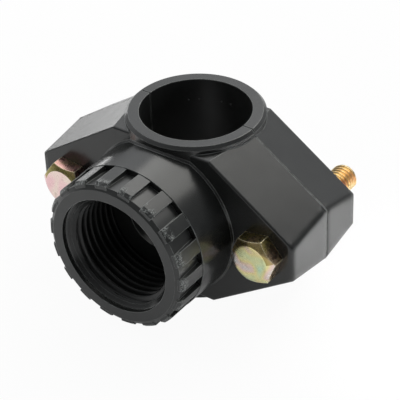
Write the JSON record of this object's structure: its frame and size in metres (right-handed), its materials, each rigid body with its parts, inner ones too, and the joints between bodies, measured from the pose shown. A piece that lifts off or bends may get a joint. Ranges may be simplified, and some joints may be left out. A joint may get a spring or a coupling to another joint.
{
  "type": "tapping saddle",
  "caption": "Two-piece plastic clamp saddle that bolts round a 32 mm pipe and gives it a 1 inch female threaded branch.",
  "frame": {"origin": "where the pipe axis crosses the branch axis", "axes": "+Z along the pipe, -Y out through the branch, +X along the row of the clamp bolts"},
  "size_m": [0.087, 0.0683, 0.0524],
  "materials": {
    "moulding": "black polypropylene, semi-gloss as moulded",
    "ring": "black polypropylene, satin",
    "seal": "black nitrile rubber",
    "fastener": "yellow chromated zinc plate, slightly iridescent"
  },
  "bodies": {
    "outlet": {"outlet_half": "moulding", "grip_ring": "ring", "seal_ring": "seal"},
    "clamp": {"clamp_half": "moulding", "nut_left": "fastener", "nut_right": "fastener"},
    "bolt_left": {"bolt_left": "fastener"},
    "bolt_right": {"bolt_right": "fastener"}
  },
  "joints": [
    {"name": "clamp_slide", "type": "slide", "parent": "outlet", "child": "clamp", "axis": [0, 1, 0], "range_m": [0, 0.0125]},
    {"name": "bolt_left_turn", "type": "hinge", "parent": "outlet", "child": "bolt_left", "pos_m": [-0.03301, -0.01725, 0], "axis": [0, -1, 0], "range_deg": [0, 3600]},
    {"name": "bolt_right_turn", "type": "hinge", "parent": "outlet", "child": "bolt_right", "pos_m": [0.03301, -0.01725, 0], "axis": [0, -1, 0], "range_deg": [0, 3600]}
  ],
  "couplings": [
    {"joint": "bolt_left_turn", "follows": "clamp_slide", "rad_per_m": 5026.5},
    {"joint": "bolt_right_turn", "follows": "clamp_slide", "rad_per_m": 5026.5}
  ]
}
